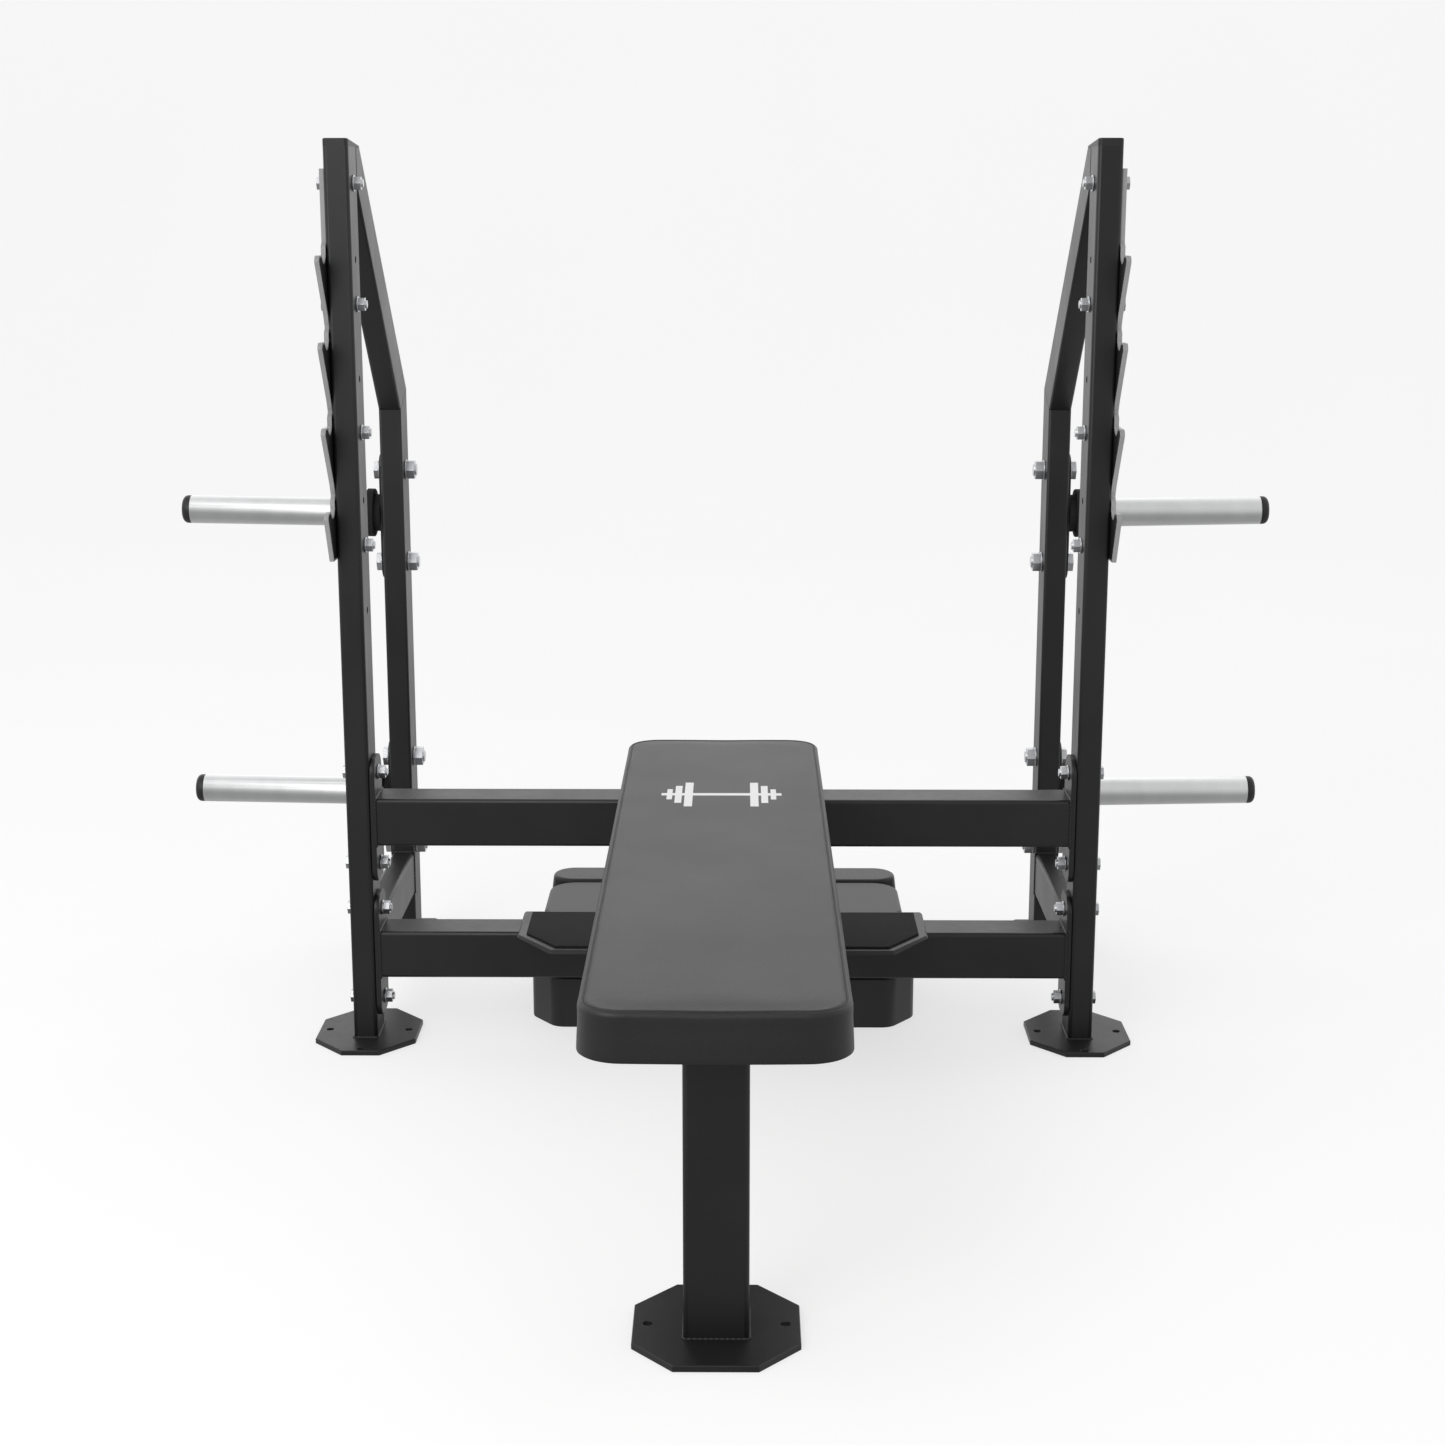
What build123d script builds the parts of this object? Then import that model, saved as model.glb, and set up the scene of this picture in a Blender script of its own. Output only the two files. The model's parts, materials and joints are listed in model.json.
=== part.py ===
"""Olympic bench press: flat bench, two-post bar rack with four bar heights, plate storage and spotter platform.

Millimetres. X runs across the bench, Y from the foot end (-Y) to the rack (+Y), Z up.
The origin is on the floor, under the middle of the overall box.
"""
import os
from math import cos, radians, sin, tan

from build123d import *

# ---------------------------------------------------------------- driving dimensions
rack_half = 590.0          # middle plane to the outer face of a post
rack_y = 260.5             # front face of the front posts
rack_height = 1406.0
post_w = 38.0              # rectangular tube, across the bench
post_d = 76.0              # rectangular tube, along the bench
beam = 76.0                # square tube of the crossbeams and the spine
wall = 3.0
tube_r = 6.0               # outer corner radius of every tube
side_edge_r = 4.0          # the same on the mitred tubes
long_edge = 150.0          # edges shorter than this stay sharp at a mitre
plate_t = 8.0

rear_gap = 461.0           # front face of the front posts to front face of the rear posts
knee_front = 968.0         # height where the rear post's front face meets the top brace
knee_rear = 1000.0
brace_low = 1335.0         # height where the brace's lower edge meets the front post
brace_back = 112.0         # how far back the brace's upper edge reaches at the top
rail_z = 110.0             # underside of the side rails
cap_t = 12.0                # at the front; the cap slopes down to the back
cap_back_t = 3.0
cap_top_r = 2.0

upper_beam_z = 325.0       # underside of the upper crossbeam
lower_beam_z = 108.0
flange_h = 200.0
flange_r = 25.0
flange_pitch = 148.0
upper_flange_z = 363.0     # middle of the end flanges
lower_flange_z = 140.0

foot_t = 8.0
foot_w = 160.0
foot_l = 200.0
foot_cut_x = 50.0          # corner cuts of the eight-sided foot plates
foot_cut_y = 55.0
foot_hole_x = 63.5
foot_hole_y = 92.0
rear_hole_y = 84.0
anchor_r = 6.0
front_foot_shift = 2.0     # foot plate middle behind the tube middle
rear_foot_shift = 41.0

leg_w = 78.0
leg_y = rack_y - 973.0
leg_foot_w = 200.0
leg_foot_l = 208.0
leg_hole_x = 82.0

pad_w = 306.0
pad_l = 1314.0
pad_t = 60.0
pad_r = 50.0
pad_edge_r = 14.0
pad_front = rack_y - 1161.0
board_t = 9.0
board_inset = 22.0
bracket_t = 4.0
bracket_w = 240.0
bracket_l = 60.0
bracket_r = 8.0
bracket_places = (rack_y - 960.0, rack_y - 510.0, rack_y - 60.0)
pad_screw_x = 95.0
pad_screw_r = 4.0
pad_screw_hole_r = 4.5
pad_screw_af = 13.0
pad_screw_head_t = 5.0
board_overlap = 1.0        # the cushion starts this far above the board's underside
spine_flange_w = 150.0
spine_flange_r = 10.0
spine_bolt_x = 56.0
spine_bolt_z = 20.0        # above and below the spine's middle

catch_t = 7.0
catch_top = 1362.0
catch_low = 780.0
catch_back = 66.0
catch_waist = 6.0          # front edge between the hooks, behind the post's front face
hook_pitch = 126.5
hook_first = 1229.0        # height of the first hook's tip
hook_count = 4
hook_reach = 62.0
lip_rise = 8.0             # top of the hook's nose over its tip
nose_w = 7.0
nose_r = 5.0
shoulder_y = -2.0          # front of the wall behind the bar
shoulder_rise = 20.0       # top of that wall over the hook's tip
shoulder_slope = 6.0
hook_drop = 81.0           # tip down to where the slanted edge meets the post
waist_drop = 96.0
valley_r = 16.0
valley_y = -18.0
valley_dip = 2.0           # bottom of the valley under the hook's tip
low_end_back = 38.0        # how far the lowest hook's slanted edge runs back
liner_t = 3.0
liner_end = 10.0           # the strip stops this far behind the post's front face
catch_bolt_z = (797.0, 970.0, 1163.0, 1341.0)
spare_hole_z = (695.0, 866.0, 1051.0, 1229.0)
spare_hole_r = 5.5

horn_z = (288.0, 787.0)     # height of each horn at its root
horn_rise = 1.0            # degrees up towards the outer end
horn_r = 24.0
horn_wall = 4.0
horn_end = 926.0           # outer end of the steel tube
horn_plate_z = (273.0, 782.0)
horn_plate_t = 5.0
horn_plate_w = 50.0
horn_plate_h = 216.0
horn_plate_r = 24.0
horn_bolt = 80.0           # bolts above and below the plate's middle
horn_stop_r = 41.5
horn_stop_t = 14.0
horn_hub_r = 32.0          # hub between the plate and the stop disc
horn_hub_t = 11.0
horn_collar_r = 26.0       # weld collar inside the stop disc
horn_cap_reach = 14.0
horn_cap_plug = 30.0
horn_cap_dome = 9.0
horn_sink = 2.0            # horns are drawn from inside the plate, then cut flush with it

bolt_r = 6.0
bolt_hole_r = 6.5
hex_af = 19.0
head_t = 6.0
nut_t = 10.0
washer_r = 12.0
washer_t = 2.5
bolt_tail = 3.0
big_bolt_r = 10.0          # the horn plates' bolts
big_hole_r = 10.5
big_af = 30.0
big_head_t = 8.0
big_nut_t = 14.0
big_washer_r = 17.0
nut_gap = 0.05             # slack between a nut's bore and its bolt

tread_half = 323.0
tread_front = -110.0       # from the front face of the front posts
tread_back = 99.0
tread_cut_x = 58.0
tread_cut_y = 78.0
tread_t = 6.0
tread_bevel = 4.0
mat_inset = 15.0
mat_edge = 1.0
mat_t = 3.0

step_half = 314.0
step_front = 72.0          # from the front face of the front posts
step_back = 384.0
step_skirt_h = 84.0
step_corner_r = 45.0
step_gap = 4.0
step_top = 184.0
step_top_half = 292.0
step_body_front = 78.0
step_body_back = 286.0
step_edge_r = 6.0          # rounding of the top edges
skirt_cut_x = 41.0         # cut-off corners of the skirt
skirt_cut_y = 54.0
skirt_cut_r = 30.0
step_neck_inset = 20.0
skirt_edge_r = 4.0
step_draft = 7.0           # side walls lean in, degrees
lip_front = 288.0
lip_back = 378.0
lip_top = 187.0
lip_corner_r = 37.0
step_wall = 5.0

post_x = rack_half - post_w / 2
inner_x = rack_half - post_w
post_mid_y = rack_y + post_d / 2
rear_y = rack_y + rear_gap
rear_mid_y = rear_y + post_d / 2
pad_z = upper_beam_z + beam + bracket_t
board_z = pad_z
cushion_z = pad_z + board_overlap
SIDES = (("left", -1), ("right", 1))

os.makedirs("parts", exist_ok=True)


def save(part, name):
    """Label one piece and write it out."""
    part.label = name
    export_step(part, f"parts/{name}.step")


# ---------------------------------------------------------------- shared shapes
def box_tube(plane, width, depth, length):
    """Rectangular tube standing on a plane, both ends closed."""
    with BuildPart() as tube:
        with BuildSketch(plane):
            RectangleRounded(width, depth, tube_r)
        extrude(amount=length)
        with BuildSketch(plane.offset(wall)):
            RectangleRounded(width - 2 * wall, depth - 2 * wall, tube_r - wall)
        extrude(amount=length - 2 * wall, mode=Mode.SUBTRACT)
    return tube.part


def drill_x(part, x, y, heights, radius):
    """Holes straight through a piece along X."""
    with BuildPart() as drilled:
        add(part)
        with Locations(*[(x, y, z) for z in heights]):
            Cylinder(radius, 3 * post_w, rotation=(0, 90, 0), mode=Mode.SUBTRACT)
    return drilled.part


def octagon(width, length, cut_x, cut_y, front=True, back=True):
    """Corner points of a rectangle with its corners cut off."""
    half_w, half_l = width / 2, length / 2
    near = [(-half_w, -half_l + cut_y), (-half_w + cut_x, -half_l)] if front else [(-half_w, -half_l)]
    far = [(half_w, half_l - cut_y), (half_w - cut_x, half_l)] if back else [(half_w, half_l)]
    return near + [(-x, y) for x, y in reversed(near)] + far + [(-x, y) for x, y in reversed(far)]


def foot_plate(x, y, width, length, holes):
    """Eight-sided floor plate with anchor holes given from its middle."""
    with BuildPart() as foot:
        with BuildSketch(Plane.XY):
            with Locations((x, y)):
                Polygon(*octagon(width, length, foot_cut_x, foot_cut_y), align=None)
            with Locations(*[(x + dx, y + dy) for dx, dy in holes]):
                Circle(anchor_r, mode=Mode.SUBTRACT)
        extrude(amount=foot_t)
        top = foot.faces().sort_by(Axis.Z)[-1]
        chamfer(top.outer_wire().edges(), 1.0)
    return foot.part


# ---------------------------------------------------------------- rack frame
def flange_holes(middle):
    """Heights of the two bolts of an end flange."""
    return (middle - flange_pitch / 2, middle + flange_pitch / 2)


def front_post(side):
    """Upright with bar-catch bolts, flange bolts and empty accessory holes."""
    base = Plane.XY.offset(foot_t).move(Location((side * post_x, post_mid_y, 0)))
    post = box_tube(base, post_w, post_d, rack_height - cap_t - foot_t)
    bolts = catch_bolt_z + flange_holes(upper_flange_z) + flange_holes(lower_flange_z)
    post = drill_x(post, side * post_x, post_mid_y, bolts, bolt_hole_r)
    return drill_x(post, side * post_x, post_mid_y, spare_hole_z, spare_hole_r)


def side_profile(side, points, inner_points):
    """Tube cut to a side-view outline, hollow with closed ends."""
    start = side * post_x - post_w / 2
    with BuildPart() as member:
        with BuildSketch(Plane.YZ.offset(start)):
            Polygon(*points, align=None)
        extrude(amount=post_w)
        with BuildSketch(Plane.YZ.offset(start + wall)):
            Polygon(*inner_points, align=None)
        extrude(amount=post_w - 2 * wall, mode=Mode.SUBTRACT)
        faces = [start, start + post_w]
        long_edges = [
            e for e in member.edges()
            if e.length > long_edge and min(abs(e.center().X - x) for x in faces) < 0.1
        ]
        fillet(long_edges, side_edge_r)
    return member.part


def horn_bolt_heights():
    """Heights of the bolts through a rear post."""
    return [z + step for z in horn_plate_z for step in (-horn_bolt, horn_bolt)]


def rear_post(side):
    """Rear upright, cut along the knee line at its top."""
    back = rear_y + post_d
    outline = [(rear_y, foot_t), (back, foot_t), (back, knee_rear), (rear_y, knee_front)]
    hollow = [
        (rear_y + wall, foot_t + wall),
        (back - wall, foot_t + wall),
        (back - wall, knee_rear - 2 * wall),
        (rear_y + wall, knee_front - 2 * wall),
    ]
    post = side_profile(side, outline, hollow)
    return drill_x(post, side * post_x, rear_mid_y, horn_bolt_heights(), big_hole_r)


def top_brace(side):
    """Slanted tube from the rear post's knee up to the front post's top."""
    top = rack_height - cap_t
    front = rack_y + post_d
    back = rear_y + post_d
    outline = [(rear_y, knee_front), (back, knee_rear), (rack_y + brace_back, top), (front, top), (front, brace_low)]
    hollow = [
        (rear_y + wall, knee_front + 2 * wall),
        (back - 2 * wall, knee_rear + wall),
        (rack_y + brace_back - wall, top - 2 * wall),
        (front + wall, top - 2 * wall),
        (front + wall, brace_low + wall),
    ]
    return side_profile(side, outline, hollow)


def side_rail(side):
    """Low rail between the front and the rear post."""
    start = rack_y + post_d
    base = Plane((side * post_x, start, rail_z + post_d / 2), x_dir=(1, 0, 0), z_dir=(0, 1, 0))
    return box_tube(base, post_w, post_d, rear_gap - post_d)


def post_cap(side):
    """Plastic cover over the front post and the brace's cut end, sloping down to the back."""
    low = rack_height - cap_t
    back = rack_y + brace_back
    outline = [(rack_y, low), (rack_y, rack_height), (back, low + cap_back_t), (back, low)]
    with BuildPart() as cap:
        with BuildSketch(Plane.YZ.offset(side * post_x - post_w / 2)):
            Polygon(*outline, align=None)
        extrude(amount=post_w)
        fillet(cap.edges().filter_by(Axis.Z), tube_r)
        fillet(cap.faces().sort_by(Axis.Z)[-1].edges(), cap_top_r)
    return cap.part


def crossbeam(low):
    """Square tube between the two end flanges."""
    half = inner_x - plate_t
    base = Plane((-half, post_mid_y, low + beam / 2), x_dir=(0, 1, 0), z_dir=(1, 0, 0))
    return box_tube(base, beam, beam, 2 * half)


def end_flange(side, middle):
    """Bolted plate at one end of a crossbeam."""
    start = inner_x - plate_t if side > 0 else -inner_x
    with BuildPart() as flange:
        with BuildSketch(Plane.YZ.offset(start)):
            with Locations((post_mid_y, middle)):
                RectangleRounded(post_d, flange_h, flange_r)
            with Locations(*[(post_mid_y, z) for z in flange_holes(middle)]):
                Circle(bolt_hole_r, mode=Mode.SUBTRACT)
        extrude(amount=plate_t)
    return flange.part


# ---------------------------------------------------------------- bar catches
def hook_points(tip):
    """Front edge of one hook, from its back shoulder down to the waist below it."""
    nose_top = tip + lip_rise
    shoulder = tip + shoulder_rise
    return [
        (catch_waist, shoulder + shoulder_slope),
        (shoulder_y, shoulder),
        (shoulder_y, nose_top),
        (nose_w - hook_reach, nose_top),
        (-hook_reach, tip),
        (shoulder_y, tip - hook_drop),
        (catch_waist, tip - waist_drop),
    ]


def catch_face(inset):
    """Side view of a catch plate, drawn flat with Y across; the inset pulls its edge in."""
    tips = [hook_first - step * hook_pitch for step in range(hook_count)]
    points = [(catch_back, catch_top), (catch_waist, catch_top)]
    for tip in tips[:-1]:
        points += hook_points(tip)
    points += hook_points(tips[-1])[:5]
    points += [(low_end_back - hook_reach, catch_low), (catch_back, catch_low)]
    with BuildSketch() as face:
        with Locations((rack_y, 0)):
            Polygon(*points, align=None)
        noses = [v for v in face.vertices() if v.X < rack_y - hook_reach + nose_w + 1.0]
        fillet(noses, nose_r)
        with Locations(*[(rack_y + valley_y, tip + valley_r - valley_dip) for tip in tips]):
            Circle(valley_r, mode=Mode.SUBTRACT)
        if inset:
            offset(amount=-inset, kind=Kind.INTERSECTION, mode=Mode.REPLACE)
    return face.sketch


def liner_face():
    """Side view of the strip that lines the plate's front edge."""
    height = catch_top - catch_low
    with BuildSketch() as strip:
        add(catch_face(0))
        add(catch_face(liner_t), mode=Mode.SUBTRACT)
        with Locations((rack_y + liner_end - hook_reach, catch_low + height / 2)):
            Rectangle(2 * hook_reach, height, mode=Mode.INTERSECT)
    return strip.sketch


def catch_plate(side):
    """Bar catch plate bolted to the outer face of a front post."""
    start = rack_half if side > 0 else -rack_half - catch_t
    with BuildPart() as plate:
        with BuildSketch(Plane.YZ.offset(start)):
            add(catch_face(0))
            add(liner_face(), mode=Mode.SUBTRACT)
        extrude(amount=catch_t)
    middle = side * (rack_half + catch_t / 2)
    spare = [z for z in spare_hole_z if z > catch_low]
    bolted = drill_x(plate.part, middle, post_mid_y, catch_bolt_z, bolt_hole_r)
    return drill_x(bolted, middle, post_mid_y, spare, spare_hole_r)


def catch_liners(side):
    """Wear strip along the front edge of one catch plate."""
    start = rack_half if side > 0 else -rack_half - catch_t
    with BuildPart() as liners:
        with BuildSketch(Plane.YZ.offset(start)):
            add(liner_face())
        extrude(amount=catch_t)
    return liners.part


# ---------------------------------------------------------------- plate storage horns
def horn_plate(side, middle):
    """Bolted plate that carries one horn."""
    start = rack_half if side > 0 else -rack_half - horn_plate_t
    with BuildPart() as plate:
        with BuildSketch(Plane.YZ.offset(start)):
            with Locations((rear_mid_y, middle)):
                RectangleRounded(horn_plate_w, horn_plate_h, horn_plate_r)
            with Locations((rear_mid_y, middle - horn_bolt), (rear_mid_y, middle + horn_bolt)):
                Circle(big_hole_r, mode=Mode.SUBTRACT)
        extrude(amount=horn_plate_t)
    return plate.part


def horn_axis(side, z, reach):
    """Plane across a rising horn at a distance out from its plate."""
    root = rack_half + horn_plate_t
    lean = radians(horn_rise)
    origin = (side * (root + reach * cos(lean)), rear_mid_y, z + reach * sin(lean))
    return Plane(origin, x_dir=(0, 1, 0), z_dir=(side * cos(lean), 0, sin(lean)))


def beyond_plate(side, part):
    """The part cut flush with the outer face of the horn plates."""
    size = 2 * horn_end
    face = side * (rack_half + horn_plate_t + size / 2)
    with BuildPart() as cut:
        add(part)
        with Locations((face, rear_mid_y, rack_height / 2)):
            Box(size, size, size, mode=Mode.INTERSECT)
    return cut.part


def weight_horn(side, z):
    """Steel tube that weight discs slide onto, with a collar at its root."""
    collar = horn_hub_t + horn_stop_t
    length = horn_end - rack_half - horn_plate_t
    with BuildPart() as horn:
        with BuildSketch(horn_axis(side, z, -horn_sink)):
            Circle(horn_collar_r)
        extrude(amount=collar + horn_sink)
        with BuildSketch(horn_axis(side, z, collar)):
            Circle(horn_r)
        extrude(amount=length - collar)
        with BuildSketch(horn_axis(side, z, -horn_sink)):
            Circle(horn_r - horn_wall)
        extrude(amount=length + horn_sink, mode=Mode.SUBTRACT)
    return beyond_plate(side, horn.part)


def horn_stop(side, z):
    """Rubber stop with a narrower hub at the root of one horn."""
    with BuildPart() as stop:
        with BuildSketch(horn_axis(side, z, -horn_sink)):
            Circle(horn_hub_r)
        extrude(amount=horn_hub_t + horn_sink)
        with BuildSketch(horn_axis(side, z, horn_hub_t)):
            Circle(horn_stop_r)
        extrude(amount=horn_stop_t)
        rims = stop.edges().filter_by(GeomType.CIRCLE).filter_by(lambda e: abs(e.radius - horn_stop_r) < 0.1)
        fillet(rims, 2.0)
        with BuildSketch(horn_axis(side, z, -horn_sink)):
            Circle(horn_collar_r)
        extrude(amount=horn_hub_t + horn_stop_t + 2 * horn_sink, mode=Mode.SUBTRACT)
    return beyond_plate(side, stop.part)


def horn_stops():
    """The stops of all four horns."""
    with BuildPart() as stops:
        for _, side in SIDES:
            for z in horn_z:
                add(horn_stop(side, z))
    return stops.part


def horn_caps():
    """Domed plastic cap plugged into the end of every horn."""
    length = horn_end - rack_half - horn_plate_t
    with BuildPart() as caps:
        for _, side in SIDES:
            for z in horn_z:
                with BuildSketch(horn_axis(side, z, length - horn_cap_plug)):
                    Circle(horn_r - horn_wall)
                extrude(amount=horn_cap_plug)
                with BuildSketch(horn_axis(side, z, length)):
                    Circle(horn_r)
                extrude(amount=horn_cap_reach)
        far = horn_end + (horn_cap_reach - horn_cap_dome)
        outer = [e for e in caps.edges().filter_by(GeomType.CIRCLE) if abs(e.arc_center.X) > far]
        fillet(outer, horn_cap_dome)
    return caps.part


# ---------------------------------------------------------------- bench
def bench_spine():
    """Square tube from the front leg back to the upper crossbeam."""
    start = leg_y + leg_w / 2
    base = Plane((0, start, upper_beam_z + beam / 2), x_dir=(1, 0, 0), z_dir=(0, 1, 0))
    return box_tube(base, beam, beam, rack_y - plate_t - start)


def spine_bolt_points():
    """Across and up positions of the spine flange's bolts."""
    middle = upper_beam_z + beam / 2
    return [(dx, middle + dz) for dx in (-spine_bolt_x, spine_bolt_x) for dz in (-spine_bolt_z, spine_bolt_z)]


def spine_flange():
    """Bolted plate between the spine and the upper crossbeam."""
    with BuildPart() as flange:
        with BuildSketch(Plane.XZ.offset(-rack_y)):
            with Locations((0, upper_beam_z + beam / 2)):
                RectangleRounded(spine_flange_w, beam, spine_flange_r)
            with Locations(*spine_bolt_points()):
                Circle(bolt_hole_r, mode=Mode.SUBTRACT)
        extrude(amount=plate_t)
    return flange.part


def upper_crossbeam():
    """Upper crossbeam, drilled through for the spine flange's bolts."""
    with BuildPart() as tube:
        add(crossbeam(upper_beam_z))
        with Locations(*[(x, post_mid_y, z) for x, z in spine_bolt_points()]):
            Cylinder(bolt_hole_r, 2 * beam, rotation=(90, 0, 0), mode=Mode.SUBTRACT)
    return tube.part


def front_leg():
    """Square tube from the leg's foot plate up past the spine's end to the pad."""
    base = Plane.XY.offset(foot_t).move(Location((0, leg_y, 0)))
    return box_tube(base, leg_w, leg_w, upper_beam_z + beam - foot_t)


def pad_screw_points():
    """Places of the screws that hold the pad's board to its brackets."""
    return [(dx, y) for y in bracket_places for dx in (-pad_screw_x, pad_screw_x)]


def pad_brackets():
    """Flat plates across the spine that carry the pad."""
    with BuildPart() as plates:
        with BuildSketch(Plane.XY.offset(upper_beam_z + beam)):
            with Locations(*[(0, y) for y in bracket_places]):
                RectangleRounded(bracket_w, bracket_l, bracket_r)
            with Locations(*pad_screw_points()):
                Circle(pad_screw_hole_r, mode=Mode.SUBTRACT)
        extrude(amount=bracket_t)
    return plates.part


def pad_outline(inset):
    """Plan shape of the pad, pulled in by the inset."""
    with BuildSketch() as plan:
        with Locations((0, pad_front + pad_l / 2)):
            RectangleRounded(pad_w - 2 * inset, pad_l - 2 * inset, pad_r - inset)
    return plan.sketch


def pad_board():
    """Board under the cushion, with a blind pilot hole for each screw."""
    with BuildPart() as board:
        with BuildSketch(Plane.XY.offset(board_z)):
            add(pad_outline(board_inset))
            with Locations(*pad_screw_points()):
                Circle(pad_screw_r, mode=Mode.SUBTRACT)
        extrude(amount=board_t)
    return board.part


def pad():
    """Cushion: a plain closed solid with a shallow recess for its board."""
    with BuildPart() as cushion:
        with BuildSketch(Plane.XY.offset(cushion_z)):
            add(pad_outline(0.0))
        extrude(amount=pad_t)
        fillet(cushion.faces().sort_by(Axis.Z)[-1].edges(), pad_edge_r)
        with BuildSketch(Plane.XY.offset(cushion_z)):
            add(pad_outline(board_inset))
        extrude(amount=board_t + board_z - cushion_z, mode=Mode.SUBTRACT)
    return cushion.part


def pad_screws():
    """Screws up through the brackets into the board."""
    under = board_z - bracket_t
    with BuildPart() as screws:
        with BuildSketch(Plane.XY.offset(under - pad_screw_head_t)):
            with Locations(*pad_screw_points()):
                RegularPolygon(pad_screw_af / 2, 6, major_radius=False)
        extrude(amount=pad_screw_head_t)
        with BuildSketch(Plane.XY.offset(under)):
            with Locations(*pad_screw_points()):
                Circle(pad_screw_r)
        extrude(amount=bracket_t + board_t - board_overlap)
    return screws.part


# ---------------------------------------------------------------- spotter step
def tread_plan(inset):
    """Plan of the tread plate: near corners cut, far corners square."""
    length = tread_back - tread_front
    with BuildSketch() as plan:
        with Locations((0, rack_y + tread_front + length / 2)):
            Polygon(*octagon(2 * tread_half, length, tread_cut_x, tread_cut_y, back=False), align=None)
        if inset:
            offset(amount=-inset, kind=Kind.INTERSECTION, mode=Mode.REPLACE)
    return plan.sketch


def tread_plate():
    """Steel plate on the lower crossbeam with a bevelled rim."""
    with BuildPart() as plate:
        with BuildSketch(Plane.XY.offset(lower_beam_z + beam)):
            add(tread_plan(0.0))
        extrude(amount=tread_t)
        chamfer(plate.faces().sort_by(Axis.Z)[-1].edges(), tread_bevel)
    return plate.part


def tread_mat():
    """Rubber mat on the tread plate."""
    with BuildPart() as mat:
        with BuildSketch(Plane.XY.offset(lower_beam_z + beam + tread_t)):
            add(tread_plan(mat_inset))
        extrude(amount=mat_t)
        chamfer(mat.faces().sort_by(Axis.Z)[-1].edges(), mat_edge)
    return mat.part


def step_block(half, front, back, low, high, corner):
    """Closed hollow block; half width, front and back are each given at its foot and at its top."""
    with BuildPart() as block:
        for inset, mode in ((0, Mode.ADD), (step_wall, Mode.SUBTRACT)):
            for z, end in ((low + inset, 0), (high - inset, 1)):
                near, far = front[end] + inset, back[end] - inset
                with BuildSketch(Plane.XY.offset(z)):
                    with Locations((0, rack_y + (near + far) / 2)):
                        RectangleRounded(2 * (half[end] - inset), far - near, corner - inset)
            loft(mode=mode)
        fillet(block.faces().sort_by(Axis.Z)[-1].edges(), step_edge_r)
    return block.part


def skirt_plan(inset):
    """Plan of the skirt, a rectangle with softened cut-off corners."""
    x = step_half - inset
    y = (step_back - step_front) / 2 - inset
    corners = []
    for sx, sy in ((1, 1), (-1, 1), (-1, -1), (1, -1)):
        pair = [(sx * (x - skirt_cut_x), sy * y), (sx * x, sy * (y - skirt_cut_y))]
        corners += pair if sx * sy < 0 else pair[::-1]
    with BuildSketch() as plan:
        with Locations((0, rack_y + (step_front + step_back) / 2)):
            Polygon(*corners, align=None)
        fillet(plan.vertices(), skirt_cut_r)
    return plan.sketch


def step_skirt():
    """Lower part of the step, standing on the floor."""
    with BuildPart() as skirt:
        add(skirt_plan(0))
        extrude(amount=step_skirt_h)
        with BuildSketch(Plane.XY.offset(step_wall)):
            add(skirt_plan(step_wall))
        extrude(amount=step_skirt_h - 2 * step_wall, mode=Mode.SUBTRACT)
        fillet(skirt.faces().sort_by(Axis.Z)[-1].edges(), skirt_edge_r)
    return skirt.part


def step_body():
    """Main tread of the step, on a narrower neck so that a dark gap shows over the skirt."""
    low = step_skirt_h + step_gap
    lean = (step_top - low) * tan(radians(step_draft))
    half = (step_top_half + lean, step_top_half)
    front = (step_body_front, step_body_front + lean)
    back = (step_body_back, step_body_back)
    with BuildPart() as tread:
        add(step_block(half, front, back, low, step_top, step_corner_r))
        with BuildSketch(Plane.XY.offset(step_skirt_h)):
            with Locations((0, rack_y + (step_body_front + step_body_back) / 2)):
                neck = step_body_back - step_body_front - 2 * step_neck_inset
                RectangleRounded(2 * step_top_half, neck, step_neck_inset)
        extrude(amount=step_gap)
    return tread.part


def step_lip():
    """Second block behind the tread, a groove away from it."""
    lean = (lip_top - step_skirt_h) * tan(radians(step_draft))
    half = (step_top_half + lean, step_top_half)
    front = (lip_front, lip_front)
    back = (lip_back, lip_back - lean)
    return step_block(half, front, back, step_skirt_h, lip_top, lip_corner_r)


# ---------------------------------------------------------------- fasteners
def rack_bolt_places():
    """Outer face, inner face, middle along Y, height and size of every through bolt of one side."""
    small = (bolt_r, hex_af, head_t, nut_t, washer_r, bolt_hole_r)
    big = (big_bolt_r, big_af, big_head_t, big_nut_t, big_washer_r, big_hole_r)
    places = [(rack_half + catch_t, inner_x, post_mid_y, z, small) for z in catch_bolt_z]
    flanges = flange_holes(upper_flange_z) + flange_holes(lower_flange_z)
    places += [(rack_half, inner_x - plate_t, post_mid_y, z, small) for z in flanges]
    places += [(rack_half + horn_plate_t, inner_x, rear_mid_y, z, big) for z in horn_bolt_heights()]
    return [(side, *place) for _, side in SIDES for place in places]


def inward(side, x, y, z):
    """Plane across a through bolt, looking towards the middle of the rack."""
    return Plane((side * x, y, z), x_dir=(0, 1, 0), z_dir=(-side, 0, 0))


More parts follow.
